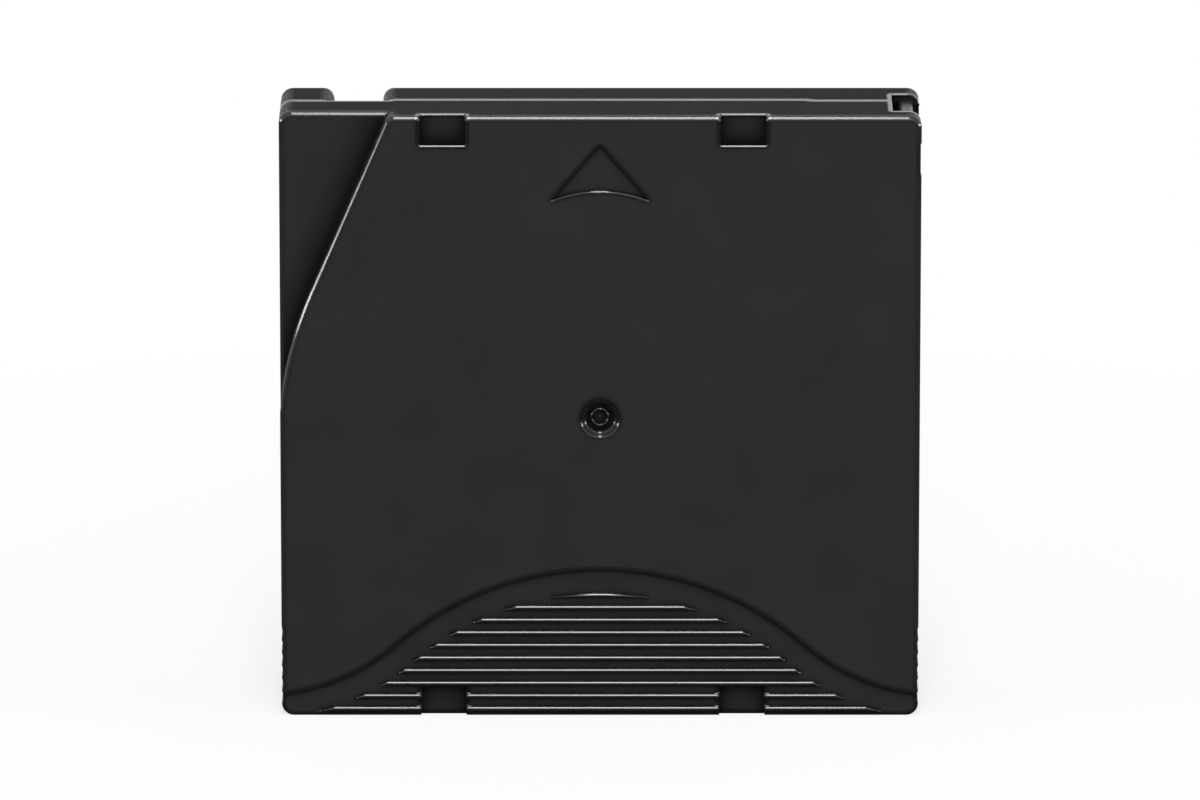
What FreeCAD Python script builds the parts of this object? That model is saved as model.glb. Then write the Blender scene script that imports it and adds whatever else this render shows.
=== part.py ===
"""Half-inch single-reel data tape cartridge, standing on its rear face.

Each piece is drawn flat: X runs across the case, Y from the rear face to the insertion end,
and Z from the underside to the arrow face. Its Placement then stands it up, so that the
insertion end points along +Z and the arrow face along -Y.
"""
import FreeCAD, Part
import math
import os
import re
import Sketcher

os.makedirs("parts", exist_ok=True)
doc = FreeCAD.newDocument("tape_cartridge")

# All in millimetres, degrees and counts. "_side" is a distance from the nearer side face,
# and "_end" a distance from the insertion end.
SIZES = {
    # case
    "case_width": 105.4,
    "case_length": 102.0,
    "case_thick": 21.5,
    "wall": 2.0,
    "split_height": 10.0,
    "split_step": 0.6,
    "split_step_half": 34.4,
    "split_round": 0.15,
    "corner_round": 2.0,
    "edge_round": 0.8,
    "root": 0.1,
    "past": 1.0,
    # guide recess in the front left corner of the arrow face
    "guide_depth": 3.2,
    "guide_front": 17.85,
    "guide_slant": 23.3,
    "guide_bend": 65.0,
    "guide_over": 0.2,
    "guide_corner": 1.6,
    # stacking recesses on the arrow face and the ribs under the case that fit them
    "stack_left_x": -25.85,
    "stack_right_x": 23.5,
    "stack_wide": 7.5,
    "stack_long": 4.9,
    "stack_depth": 1.6,
    "stack_rib_height": 1.2,
    "stack_play": 0.6,
    # arrow, gate and grip on the arrow face
    "arrow_end": 4.9,
    "arrow_long": 9.3,
    "arrow_half": 8.0,
    "arrow_arc": 20.8,
    "arrow_depth": 0.4,
    "arrow_round": 0.1,
    "lip_round": 0.25,
    "gate_round": 3.1,
    "gate_step": 0.35,
    "gate_cone_top": 2.6,
    "gate_cone_foot": 2.05,
    "gate_depth": 1.1,
    "gate_ring_outer": 1.55,
    "gate_ring_inner": 1.2,
    "gate_ring_high": 0.55,
    "gate_pip": 0.18,
    "gate_pip_high": 0.25,
    "wave_crown_y": 25.0,
    "wave_crown_bend": 50.8,
    "wave_tail_bend": 34.3,
    "wave_turn_x": 33.8,
    "grip_depth": 0.5,
    "rib_first_y": 18.84,
    "rib_pitch": 2.167,
    "rib_count": 9,
    "rib_wide": 0.75,
    "rib_margin": 4.0,
    "lens_rise": 1.45,
    "scallop_count": 6,
    "scallop_first_y": 15.2,
    "scallop_pitch": 2.2,
    "scallop_chord": 2.0,
    "scallop_bend": 2.6,
    # front left notch in the lower shell
    "notch_side": 8.8,
    "notch_wide": 8.1,
    "notch_depth": 3.5,
    "notch_round": 2.0,
    # screws: two at the rear, one in each front corner
    "screw_rear_side": 5.5,
    "screw_rear_y": 5.8,
    "screw_left_side": 5.1,
    "screw_left_end": 6.7,
    "screw_right_side": 21.5,
    "screw_right_end": 5.4,
    "screw_shank": 1.1,
    "screw_head": 2.3,
    "screw_head_thick": 1.6,
    "screw_head_play": 0.3,
    "screw_sink": 3.0,
    "screw_long": 11.0,
    "screw_tip_play": 0.4,
    "screw_socket": 1.1,
    "screw_socket_deep": 1.1,
    "screw_post": 3.9,
    "screw_boss": 2.9,
    "screw_pilot_play": 0.05,
    "screw_hole_play": 0.15,
    # locating holes in the underside
    "locate_left_side": 11.2,
    "locate_left_end": 13.6,
    "locate_right_side": 14.4,
    "locate_right_end": 7.0,
    "locate_round": 1.6,
    "locate_slot_half": 0.5,
    "locate_deep": 3.0,
    "locate_wall": 1.2,
    # reel, about its own axis
    "reel_y": 51.0,
    "reel_round": 48.5,
    "reel_low": 3.0,
    "flange_thick": 1.15,
    "flange_gap": 13.2,
    "tape_wide": 12.65,
    "pack_round": 46.5,
    "pack_play": 0.05,
    "hub_round": 22.0,
    "hub_wall": 2.4,
    "hub_floor": 5.4,
    "hub_floor_thick": 2.0,
    "hub_hole": 5.2,
    "spigot_play": 0.2,
    "spigot_wall": 2.0,
    "spigot_deep": 2.8,
    "chamber_round": 49.4,
    "chamber_wall": 1.2,
    # drive coupling under the hub
    "boss_inner": 12.5,
    "boss_outer": 17.7,
    "boss_low": 1.3,
    "hole_round": 18.3,
    "hole_rim": 2.0,
    "rim_gap": 0.3,
    "drive_teeth": 60,
    "drive_tooth_deep": 0.9,
    "drive_tooth_wide": 0.85,
    "drive_tooth_tip": 0.35,
    "tooth_margin": 0.2,
    "plate_thick": 0.8,
    "plate_play": 0.2,
    # brake
    "brake_teeth": 36,
    "brake_tooth_deep": 1.1,
    "brake_tooth_wide": 0.95,
    "brake_tooth_tip": 0.45,
    "brake_ring_inner": 9.8,
    "brake_ring_outer": 12.0,
    "brake_seat": 7.4,
    "brake_tooth_gap": 0.25,
    "brake_rim": 0.6,
    "brake_thick": 1.4,
    "brake_lift": 2.0,
    "brake_stem": 4.6,
    "brake_stem_top": 16.0,
    "key_span": 6.4,
    "key_thick": 1.4,
    "key_play": 0.15,
    "spring_round": 6.6,
    "spring_wire": 0.45,
    "spring_turns": 3.5,
    "spring_play": 0.3,
    "spring_seat_wall": 0.8,
    # release pad
    "pad_legs": 3,
    "pad_gap": 0.3,
    "pad_thick": 1.0,
    "pad_round": 5.0,
    "pad_arm": 4.0,
    "pad_play": 0.4,
    "pad_leg_inner": 14.2,
    "pad_leg_outer": 16.4,
    "pad_leg_low": 1.0,
    "pad_tip": 1.6,
    # leader pin and its seat
    "pin_side": 8.0,
    "pin_end": 8.6,
    "pin_play": 0.3,
    "pin_flange": 3.0,
    "pin_flange_thick": 1.0,
    "pin_neck": 1.6,
    "pin_neck_long": 0.75,
    "pin_collar": 2.4,
    "pin_collar_thick": 0.3,
    "pin_core": 1.2,
    "seat_wall": 1.0,
    "seat_high": 2.0,
    "seat_reach": 1.0,
    "clip_inner": 1.25,
    "clip_outer": 2.1,
    "clip_mouth": 40.0,
    "leader_thick": 0.15,
    "leader_wrap": 30.0,
    # leaf springs that hold the pin
    "leaf_thick": 0.3,
    "leaf_play": 0.2,
    "leaf_gap": 0.15,
    "leaf_set": 1.2,
    "leaf_knee": 1.9,
    "leaf_drop": 1.9,
    "leaf_lean": 0.6,
    "leaf_toe": 48.0,
    "anchor_reach": 4.6,
    "anchor_wide": 3.2,
    # tape access door
    "door_side": 2.5,
    "door_thick": 1.2,
    "door_long": 18.9,
    "door_play": 0.3,
    "door_travel": 17.5,
    "door_lip": 2.2,
    "door_lip_long": 2.3,
    "door_lip_sunk": 1.1,
    "door_lip_round": 0.8,
    "side_notch_end": 4.7,
    "side_notch_long": 5.3,
    "side_notch_depth": 0.15,
    "window_over": 1.7,
    "mouth_side": 4.7,
    "mouth_low": 5.3,
    "mouth_high": 17.6,
    "channel_skin": 1.0,
    "rail_wide": 0.9,
    "rail_high": 1.5,
    "rail_end": 5.0,
    "stop_wide": 1.2,
    "stop_over": 3.0,
    "door_spring_room": 29.3,
    "door_spring_round": 0.85,
    "door_spring_wire": 0.175,
    "door_spring_turns": 16,
    "door_rod": 0.4,
    "door_rod_long": 10.0,
    # write protect tab in the rear wall
    "tab_side": 11.2,
    "tab_window_low": 7.2,
    "tab_window_high": 14.3,
    "tab_play": 0.3,
    "tab_knob": 4.6,
    "tab_travel": 5.8,
    "tab_thick": 1.2,
    "tab_over": 1.0,
    "tab_sunk": 0.5,
    "tab_guide": 1.0,
    # label field in the rear face
    "label_side": 3.7,
    "label_wide": 73.0,
    "label_margin": 2.2,
    "label_depth": 0.3,
    # memory module in the rear right corner
    "memory_side": 11.97,
    "memory_y": 10.27,
    "memory_long": 17.0,
    "memory_high": 10.0,
    "memory_thick": 1.2,
    "memory_lift": 1.0,
    "memory_play": 0.15,
    "memory_post": 3.2,
    "memory_post_high": 8.0,
}

# Places that follow from the sizes.
PLACES = {
    "half_width": "case_width / 2",
    "roof": "case_thick - wall",
    "middle": "(case_thick - stack_rib_height) / 2",
    "guide_floor": "case_thick - guide_depth",
    "guide_front_x": "guide_front - half_width",
    "grip_floor": "case_thick - grip_depth",
    "wave_share": "(wave_crown_bend + wave_tail_bend) / wave_crown_bend",
    "wave_middle_y": "wave_crown_y - wave_crown_bend",
    "wave_rise": "sqrt(wave_crown_bend ^ 2 - wave_turn_x ^ 2)",
    "wave_turn_y": "wave_middle_y + wave_rise",
    "wave_tail_x": "wave_turn_x * wave_share",
    "wave_tail_y": "wave_middle_y + wave_rise * wave_share - wave_tail_bend",
    "stack_floor": "case_thick - stack_depth",
    "arrow_tip_y": "case_length - arrow_end",
    "arrow_base_y": "arrow_tip_y - arrow_long",
    "gate_floor": "case_thick - gate_depth",
    "notch_low_x": "notch_side - half_width",
    "notch_high_x": "notch_low_x + notch_wide",
    "notch_back_y": "case_length - notch_depth",
    "screw_rear_x": "half_width - screw_rear_side",
    "screw_left_x": "screw_left_side - half_width",
    "screw_left_y": "case_length - screw_left_end",
    "screw_right_x": "half_width - screw_right_side",
    "screw_right_y": "case_length - screw_right_end",
    "locate_left_x": "locate_left_side - half_width",
    "locate_left_y": "case_length - locate_left_end",
    "locate_right_x": "half_width - locate_right_side",
    "locate_right_y": "case_length - locate_right_end",
    "flange_top": "reel_low + flange_thick",
    "upper_flange": "flange_top + flange_gap",
    "tape_middle": "flange_top + flange_gap / 2",
    "tape_low": "tape_middle - tape_wide / 2",
    "tape_high": "tape_middle + tape_wide / 2",
    "hub_inner": "hub_round - hub_wall",
    "hub_under": "hub_floor - hub_floor_thick",
    "spigot": "hub_inner - spigot_play",
    "brake_under": "brake_seat + brake_tooth_gap + brake_tooth_deep",
    "brake_top": "brake_under + brake_thick",
    "pad_low": "hub_floor + pad_gap",
    "pad_top": "pad_low + pad_thick",
    "pad_tip_top": "pad_top + pad_gap",
    "key_low": "brake_top + 2 * pad_gap + brake_lift",
    "pin_x": "half_width - pin_side",
    "pin_y": "case_length - pin_end",
    "pin_low": "wall + pin_play",
    "pin_high": "roof - pin_play",
    "leader_x": "pin_x + clip_outer",
    "leaf_back_y": "case_length - wall - leaf_set",
    "door_inner_x": "half_width - door_side",
    "door_outer_x": "door_inner_x + door_thick",
    "door_front_y": "case_length - wall - door_play",
    "door_rear_y": "door_front_y - door_long",
    "door_low": "wall + door_play",
    "door_high": "roof - door_play",
    "lip_front_y": "case_length - door_lip_sunk",
    "window_low_y": "door_rear_y + window_over",
    "side_notch_high_y": "case_length - side_notch_end",
    "side_notch_low_y": "side_notch_high_y - side_notch_long",
    "mouth_low_x": "half_width - mouth_side",
    "channel_outer_x": "half_width - channel_skin",
    "channel_low_y": "door_rear_y - door_travel - door_spring_room",
    "rail_low_y": "door_rear_y - door_travel",
    "rail_high_y": "case_length - rail_end",
    "rod_x": "door_inner_x + door_rod",
    "tab_window_low_x": "tab_side - half_width",
    "tab_window_high_x": "tab_window_low_x + tab_knob + tab_travel + 2 * tab_play",
    "knob_x": "tab_window_low_x + tab_play",
    "label_high_x": "half_width - label_side",
    "label_low_x": "label_high_x - label_wide",
    "memory_low": "wall + memory_lift",
}

sheet = doc.addObject("Spreadsheet::Sheet", "Sizes")
for row, (alias, entry) in enumerate({**SIZES, **PLACES}.items(), start=1):
    sheet.set(f"A{row}", alias)
    sheet.set(f"B{row}", f"={entry}" if alias in PLACES else str(entry))
    sheet.setAlias(f"B{row}", alias)
doc.recompute()


def cells(text):
    """The expression, with each size's name led to its cell in the sheet."""
    return re.sub(r"[a-z]\w*", lambda word: cell_name(word.group()), text)


def cell_name(word):
    """A size's cell, or the word itself when it is a function of the expression."""
    return "Sizes." + word if word in SIZES or word in PLACES else word


def number(text):
    """What the expression comes to now."""
    return float(sheet.evalExpression(cells(text)))


def bind(thing, field, text):
    """Ties a property or a constraint to the sheet."""
    thing.setExpression(field, cells(text))


def stand_up(thing, across="0", along="0", height="0"):
    """Stands a flat-drawn piece on its rear end, at its place in the case."""
    turn = FreeCAD.Rotation(FreeCAD.Vector(1, 0, 0), 90)
    depth = f"middle - ({height})"
    place = FreeCAD.Vector(number(across), number(depth), number(along))
    thing.Placement = FreeCAD.Placement(place, turn)
    bind(thing, "Placement.Base.x", across)
    bind(thing, "Placement.Base.y", depth)
    bind(thing, "Placement.Base.z", along)


def new_body(label, across="0", along="0"):
    """An empty body that stands at its place."""
    body = doc.addObject("PartDesign::Body", label)
    body.Label = label
    stand_up(body, across, along)
    return body


def origin_part(body, role):
    """One of the body's own origin planes or axes."""
    return [part for part in body.Origin.OriginFeatures if part.Role == role][0]


def new_sketch(body, name, offset="0", plane="XY_Plane"):
    """A sketch on an origin plane, moved along that plane's normal."""
    sketch = body.newObject("Sketcher::SketchObject", name)
    sketch.AttachmentSupport = [(origin_part(body, plane), "")]
    sketch.MapMode = "FlatFace"
    bind(sketch, "AttachmentOffset.Base.z", offset)
    return sketch


def add_bound(sketch, rules):
    """Adds constraints, and binds those that carry an expression."""
    first = sketch.ConstraintCount
    sketch.addConstraint([rule for rule, text in rules])
    for place, (rule, text) in enumerate(rules, start=first):
        if text is not None:
            bind(sketch, f"Constraints[{place}]", text)


def at_point(index, end, x, y):
    """The two constraints that hold a point at its place."""
    across = Sketcher.Constraint("DistanceX", -1, 1, index, end, number(x))
    along = Sketcher.Constraint("DistanceY", -1, 1, index, end, number(y))
    return [(across, x), (along, y)]


def arc_between(start, end, radius, turn):
    """The short arc from start to end that turns left or right."""
    side = 1 if turn == "left" else -1
    run = end - start
    rise = math.sqrt(radius ** 2 - (run.Length / 2) ** 2)
    normal = FreeCAD.Vector(-run.y, run.x, 0).normalize()
    middle = (start + end) / 2 + normal * (side * rise)
    first, last = (start, end) if side == 1 else (end, start)
    low = math.atan2(first.y - middle.y, first.x - middle.x)
    high = math.atan2(last.y - middle.y, last.x - middle.x)
    if high < low:
        high += 2 * math.pi
    circle = Part.Circle(middle, FreeCAD.Vector(0, 0, 1), radius)
    return Part.ArcOfCircle(circle, low, high)


def outline(sketch, corners):
    """A closed outline. A corner is (x, y), or (x, y, radius, turn) where an arc leaves it."""
    points = [FreeCAD.Vector(number(c[0]), number(c[1]), 0) for c in corners]
    ends = []
    rules = []
    for place, corner in enumerate(corners):
        start, end = points[place], points[(place + 1) % len(points)]
        if len(corner) == 4:
            arc = arc_between(start, end, number(corner[2]), corner[3])
            index = sketch.addGeometry(arc)
            rules.append((Sketcher.Constraint("Radius", index, arc.Radius), corner[2]))
            ends.append((index, 1, 2) if corner[3] == "left" else (index, 2, 1))
        else:
            index = sketch.addGeometry(Part.LineSegment(start, end))
            ends.append((index, 1, 2))
    for place, corner in enumerate(corners):
        index, start_end, far_end = ends[place]
        following, next_end, _ = ends[(place + 1) % len(ends)]
        rules.append((Sketcher.Constraint("Coincident", index, far_end, following, next_end), None))
        rules += at_point(index, start_end, corner[0], corner[1])
    add_bound(sketch, rules)


def circle(sketch, x, y, radius):
    """A circle held at its centre."""
    middle = FreeCAD.Vector(number(x), number(y), 0)
    index = sketch.addGeometry(Part.Circle(middle, FreeCAD.Vector(0, 0, 1), number(radius)))
    rules = at_point(index, 3, x, y)
    rules.append((Sketcher.Constraint("Radius", index, number(radius)), radius))
    add_bound(sketch, rules)


def apply(body, feature, cut=False):
    """Makes the feature count, and stops if it added or removed nothing."""
    base = feature.BaseFeature
    before = base.Shape.Volume if base else 0
    doc.recompute()
    change = feature.Shape.Volume - before
    if (change >= 0 if cut else change <= 0):
        raise RuntimeError(f"{body.Label}: {feature.Name} changes nothing")
    body.Tip = feature
    return feature


def extrude(body, sketch, low, high, cut=False):
    """Raises the sketch, drawn at low, up to high: as material, or as a cut."""
    kind = "PartDesign::Pocket" if cut else "PartDesign::Pad"
    feature = body.newObject(kind, sketch.Name + "_solid")
    feature.Profile = sketch
    feature.Reversed = cut
    bind(feature, "Length", f"({high}) - ({low})")
    return apply(body, feature, cut)


def shape(body, name, loops, low, high, cut=False):
    """One or more closed outlines, raised from low to high."""
    sketch = new_sketch(body, name, low)
    for corners in loops:
        outline(sketch, corners)
    return extrude(body, sketch, low, high, cut)


def corners_of(x, y):
    """The four corners of a rectangle between two x and two y values."""
    return [(x[0], y[0]), (x[1], y[0]), (x[1], y[1]), (x[0], y[1])]


def box(body, name, x, y, z, cut=False):
    """A box between two planes each way."""
    return shape(body, name, [corners_of(x, y)], z[0], z[1], cut)


def rounds(body, name, places, radius, z, cut=False):
    """Cylinders of one radius at several places."""
    sketch = new_sketch(body, name, z[0])
    for x, y in places:
        circle(sketch, x, y, radius)
    return extrude(body, sketch, z[0], z[1], cut)


def turned(body, name, corners, along="0", cut=False):
    """A revolved form about an upright axis: each corner is (radius, height)."""
    sketch = new_sketch(body, name, f"-({along})", "XZ_Plane")
    outline(sketch, corners)
    kind = "PartDesign::Groove" if cut else "PartDesign::Revolution"
    feature = body.newObject(kind, name + "_solid")
    feature.Profile = sketch
    feature.ReferenceAxis = (sketch, ["V_Axis"])
    feature.Angle = 360
    return apply(body, feature, cut)


def around(body, features, count):
    """Repeats features evenly about the body's own axis."""
    pattern = body.newObject("PartDesign::PolarPattern", features[0].Name + "_ring")
    pattern.Originals = features
    pattern.Axis = (origin_part(body, "Z_Axis"), [""])
    pattern.Angle = 360
    bind(pattern, "Occurrences", count)
    body.Tip = pattern
    doc.recompute()
    return pattern


def round_off(body, name, radius, wanted):
    """Rounds the edges of the body's last feature that the test picks."""
    base = body.Tip
    names = [f"Edge{i}" for i, edge in enumerate(base.Shape.Edges, start=1) if wanted(edge)]
    feature = body.newObject("PartDesign::Fillet", name)
    feature.Base = (base, names)
    bind(feature, "Radius", radius)
    doc.recompute()
    body.Tip = feature
    return feature


def upright(edge):
    """True for a straight edge along Z."""
    box_of = edge.BoundBox
    return box_of.XLength < 1e-6 and box_of.YLength < 1e-6


def at_height(height):
    """A test for edges that lie in one plane across Z."""
    level = number(height)
    return lambda edge: abs(edge.BoundBox.ZMin - level) < 1e-6 and edge.BoundBox.ZLength < 1e-6


def front_edge(height):
    """A test for the edges of the insertion end at a height."""
    end = number("case_length")
    level = at_height(height)
    return lambda edge: level(edge) and abs(edge.BoundBox.YMin - end) < 1e-6


def between(x, y):
    """A test for edges that lie within two x and two y values."""
    x_low, x_high, y_low, y_high = [number(place) for place in (*x, *y)]
    return lambda edge: (
        edge.BoundBox.XMin > x_low - 1e-6 and edge.BoundBox.XMax < x_high + 1e-6
        and edge.BoundBox.YMin > y_low - 1e-6 and edge.BoundBox.YMax < y_high + 1e-6
    )


def is_sharp(body, edge):
    """True where the two faces beside an edge of the body meet at an angle."""
    middle = edge.valueAt((edge.FirstParameter + edge.LastParameter) / 2)
    normals = []
    for face in body.Tip.Shape.ancestorsOfType(edge, Part.Face):
        normals.append(face.normalAt(*face.Surface.parameter(middle)))
    return normals[0].getAngle(normals[1]) > 0.3


def polar(radius, angle, middle="reel_y"):
    """A point at an angle about the reel's axis."""
    return f"{radius} * cos({angle})", f"{middle} + {radius} * sin({angle})"


def sector(inner, outer, start, end):
    """A ring sector about the reel's axis, between two angles in degrees."""
    a, b = polar(outer, start)
    c, d = polar(outer, end)
    e, f = polar(inner, end)
    g, i = polar(inner, start)
    return [(a, b, outer, "left"), (c, d), (e, f, inner, "right"), (g, i)]


def plus_outline(span, thick, middle):
    """A cross of two equal bars about a point on the centre line."""
    far, near = f"({span} / 2)", f"({thick} / 2)"
    steps = [(far, near), (near, near), (near, far)]
    right = [(x, y) for x, y in steps]
    left = [(f"-{x}", y) for x, y in reversed(steps)]
    upper_half = [(x, f"{middle} + {y}") for x, y in right + left]
    lower_half = [(x, f"{middle} - {y}") for x, y in reversed(right + left)]
    return upper_half + lower_half


def tooth(body, name, deep, wide, tip, inner, outer, foot, down):
    """One radial tooth with sloping flanks on a ring, seen along the radius."""
    sketch = new_sketch(body, name, f"-({inner})", "XZ_Plane")
    far = f"{foot} - {deep}" if down else f"{foot} + {deep}"
    near = f"{foot} + root" if down else f"{foot} - root"
    corners = [
        (f"-{wide} / 2", near), (f"{wide} / 2", near), (f"{wide} / 2", foot),
        (f"{tip} / 2", far), (f"-{tip} / 2", far), (f"-{wide} / 2", foot),
    ]
    outline(sketch, corners)
    feature = body.newObject("PartDesign::Pad", name + "_solid")
    feature.Profile = sketch
    feature.Reversed = True
    bind(feature, "Length", f"({outer}) - ({inner})")
    return apply(body, feature)


# ---------------------------------------------------------------- outlines of the case

CASE = corners_of(("-half_width", "half_width"), ("0", "case_length"))
CAVITY = corners_of(("-half_width + wall", "half_width - wall"), ("wall", "case_length - wall"))
SCREWS = [
    ("-screw_rear_x", "screw_rear_y"), ("screw_rear_x", "screw_rear_y"),
    ("screw_left_x", "screw_left_y"), ("screw_right_x", "screw_right_y"),
]
CHAMBER = [
    sector("chamber_round", "(chamber_round + chamber_wall)", start, end)
    for start, end in (("100", "170"), ("192", "258"), ("282", "332"))
]


def guide_places(inset):
    """The slant's line and the bend to the side, moved in by an inset: places and radius."""
    middle_x = "(guide_bend - guide_over - half_width)"
    slant_x = f"(guide_front_x - {middle_x})"
    middle_y = (
        f"(case_length + ({slant_x} * cos(guide_slant) + guide_bend)"
        " / -sin(guide_slant))"
    )
    bend = f"(guide_bend - {inset})"
    front_x = f"guide_front_x + {inset} / cos(guide_slant)"
    turn_x = f"{middle_x} - {bend} * cos(guide_slant)"
    turn_y = f"{middle_y} + {bend} * sin(guide_slant)"
    return middle_y, bend, front_x, (turn_x, turn_y)


def face_outline():
    """The raised part of the arrow side: the case without its guide recess."""
    middle_y, bend, front_x, turn = guide_places("0")
    reach = "(guide_corner * tan((90 - guide_slant) / 2))"
    meet_y = f"{middle_y} + sqrt(guide_bend ^ 2 - (guide_bend - guide_over) ^ 2)"
    left, right = "-half_width + corner_round", "half_width - corner_round"
    return [
        (left, "0"), (right, "0", "corner_round", "left"), ("half_width", "corner_round"),
        ("half_width", "case_length - corner_round", "corner_round", "left"), (right, "case_length"),
        (f"{front_x} + {reach}", "case_length", "guide_corner", "left"),
        (f"{front_x} - {reach} * sin(guide_slant)", f"case_length - {reach} * cos(guide_slant)"),
        (*turn, bend, "left"), ("-half_width", meet_y),
        ("-half_width", "corner_round", "corner_round", "left"),
    ]


def wave_outline():
    """The recessed grip field: two tail arcs that meet a crown arc."""
    far_x = "(wave_tail_x + half_width)"
    return [
        (f"-{far_x}", "-past"), (far_x, "-past"), (far_x, "wave_tail_y"),
        ("wave_tail_x", "wave_tail_y", "wave_tail_bend", "right"),
        ("wave_turn_x", "wave_turn_y", "wave_crown_bend", "left"),
        ("-wave_turn_x", "wave_turn_y", "wave_tail_bend", "right"),
        ("-wave_tail_x", "wave_tail_y"), (f"-{far_x}", "wave_tail_y"),
    ]


def rib_end(y):
    """How far a grip rib reaches from the centre line at a distance from the rear."""
    crown = "(wave_crown_bend - rib_margin)"
    tail = "(wave_tail_bend + rib_margin)"
    turn_y = f"wave_middle_y + wave_rise * {crown} / wave_crown_bend"
    if number(y) > number(turn_y):
        return f"sqrt({crown} ^ 2 - ({y} - wave_middle_y) ^ 2)"
    return f"wave_tail_x - sqrt({tail} ^ 2 - (wave_tail_y + wave_tail_bend - ({y})) ^ 2)"


def grip_ribs():
    """The straight ribs, with ends that follow the wave, and the lens-shaped one above."""
    loops = []
    for place in range(SIZES["rib_count"]):
        front = f"(rib_first_y - {place} * rib_pitch)"
        back = f"({front} - rib_wide)"
        wide_front, wide_back = rib_end(front), rib_end(back)
        loops.append([
            (f"-({wide_back})", back), (wide_back, back),
            (wide_front, front), (f"-({wide_front})", front),
        ])
    lens_y = "(rib_first_y + lens_rise)"
    lens_x = rib_end(lens_y)
    loops.append([
        (f"-({lens_x})", lens_y), (lens_x, lens_y, "wave_crown_bend - rib_margin", "left"),
    ])
    return loops


def side_scallops():
    """Shallow finger scallops on both sides near the rear."""
    loops = []
    for place in range(SIZES["scallop_count"]):
        front = f"scallop_first_y - {place} * scallop_pitch"
        back = f"{front} - scallop_chord"
        for sign, turn in (("", "left"), ("-", "right")):
            side = f"{sign}half_width"
            outside = f"{sign}(half_width + past)"
            loops.append([
                (side, front, "scallop_bend", turn), (side, back),
                (outside, back), (outside, front),
            ])
    return loops


def stack_places():
    """The four stacking places: x middle, and the y stretch open to the front or rear."""
    front = ("case_length - stack_long", "case_length")
    rear = ("0", "stack_long")
    return [(x, y) for x in ("stack_left_x", "stack_right_x") for y in (front, rear)]


def stack_loop(x, y, wider, past):
    """A stacking rectangle, wider by an amount, and past the end face by another."""
    sides = (f"{x} - stack_wide / 2 - ({wider})", f"{x} + stack_wide / 2 + ({wider})")
    if y[0] == "0":
        return corners_of(sides, (f"-({past})", f"{y[1]} + ({wider})"))
    return corners_of(sides, (f"{y[0]} - ({wider})", f"{y[1]} + ({past})"))


def shell_openings(body, low, high):
    """Cuts that both shells share: window, spring channel, tab window, label and grip."""
    arrow_side = number(high) > number("roof")
    shape(body, "side_grip", side_scallops(), low, high, cut=True)
    inside = (low, "roof") if arrow_side else ("wall", high)
    side_way = [
        ("channel_outer_x", "channel_low_y"), ("channel_outer_x", "window_low_y"),
        ("half_width + past", "window_low_y"), ("half_width + past", "case_length - wall"),
        ("half_width - wall - root", "case_length - wall"), ("half_width - wall - root", "channel_low_y"),
    ]
    shape(body, "door_way", [side_way], *inside, cut=True)
    mouth = (low, "mouth_high") if arrow_side else ("mouth_low", high)
    box(body, "door_mouth", ("mouth_low_x", "half_width + past"),
        ("case_length - wall - root", "case_length + past"), mouth, cut=True)
    slot = (low, "tab_window_high") if arrow_side else ("tab_window_low", high)
    box(body, "tab_window", ("tab_window_low_x", "tab_window_high_x"), ("-past", "wall + root"),
        slot, cut=True)
    field = (low, "case_thick - label_margin") if arrow_side else ("label_margin", high)
    box(body, "label_field", ("label_low_x", "label_high_x"), ("-past", "label_depth"),
        field, cut=True)


def pin_seat(body, low, high):
    """The U-shaped seat round one end of the leader pin, open toward the door."""
    inner = "(pin_flange + pin_play)"
    outer = f"({inner} + seat_wall)"
    mouth = "pin_x + seat_reach"
    shape(body, "pin_seat", [[
        (mouth, f"pin_y - {outer}"), (mouth, f"pin_y - {inner}"),
        ("pin_x", f"pin_y - {inner}", inner, "right"),
        (f"pin_x - {inner}", "pin_y", inner, "right"),
        ("pin_x", f"pin_y + {inner}"), (mouth, f"pin_y + {inner}"),
        (mouth, f"pin_y + {outer}"), ("pin_x", f"pin_y + {outer}", outer, "left"),
        (f"pin_x - {outer}", "pin_y", outer, "left"), ("pin_x", f"pin_y - {outer}"),
    ]], low, high)
    anchor = ("pin_x - anchor_reach", "pin_x - anchor_reach + anchor_wide")
    box(body, "leaf_anchor", anchor, ("leaf_back_y - leaf_gap - seat_wall / 2",
        "case_length - wall + root"), (low, high))
    box(body, "leaf_slot", (f"{anchor[0]} - root", f"{anchor[1]} + root"),
        ("leaf_back_y", "leaf_back_y + leaf_thick"), (low, high), cut=True)


def door_rail(body, low, high):
    """The rib that keeps the door in its channel."""
    rail = ("door_inner_x - door_play - rail_wide", "door_inner_x - door_play")
    box(body, "door_rail", rail, ("rail_low_y", "rail_high_y"), (low, high))


# ---------------------------------------------------------------- upper shell

upper = new_body("upper_shell")
shape(upper, "upper_block", [CASE], "split_height", "guide_floor")
round_off(upper, "upper_corners", "corner_round", upright)
round_off(upper, "guide_edges", "edge_round", at_height("guide_floor"))
round_off(upper, "upper_split", "split_round", at_height("split_height"))
shape(upper, "raised_face", [face_outline()], "guide_floor - edge_round - root", "case_thick")
round_off(upper, "upper_edges", "edge_round", at_height("case_thick"))
shape(upper, "upper_cavity", [CAVITY], "split_height", "roof", cut=True)
shell_openings(upper, "split_height", "case_thick + past")
box(upper, "side_notch", ("half_width - side_notch_depth", "half_width + past"),
    ("side_notch_low_y", "side_notch_high_y"), ("roof - wall", "case_thick + past"), cut=True)
box(upper, "split_tongue", ("-split_step_half", "split_step_half"),
    ("case_length - wall", "case_length"),
    ("split_height - split_step", "split_height + split_round + root"))
round_off(upper, "tongue_edge", "split_round", front_edge("split_height - split_step"))
far_y, bend, front_x, turn = guide_places("wall")
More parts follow.
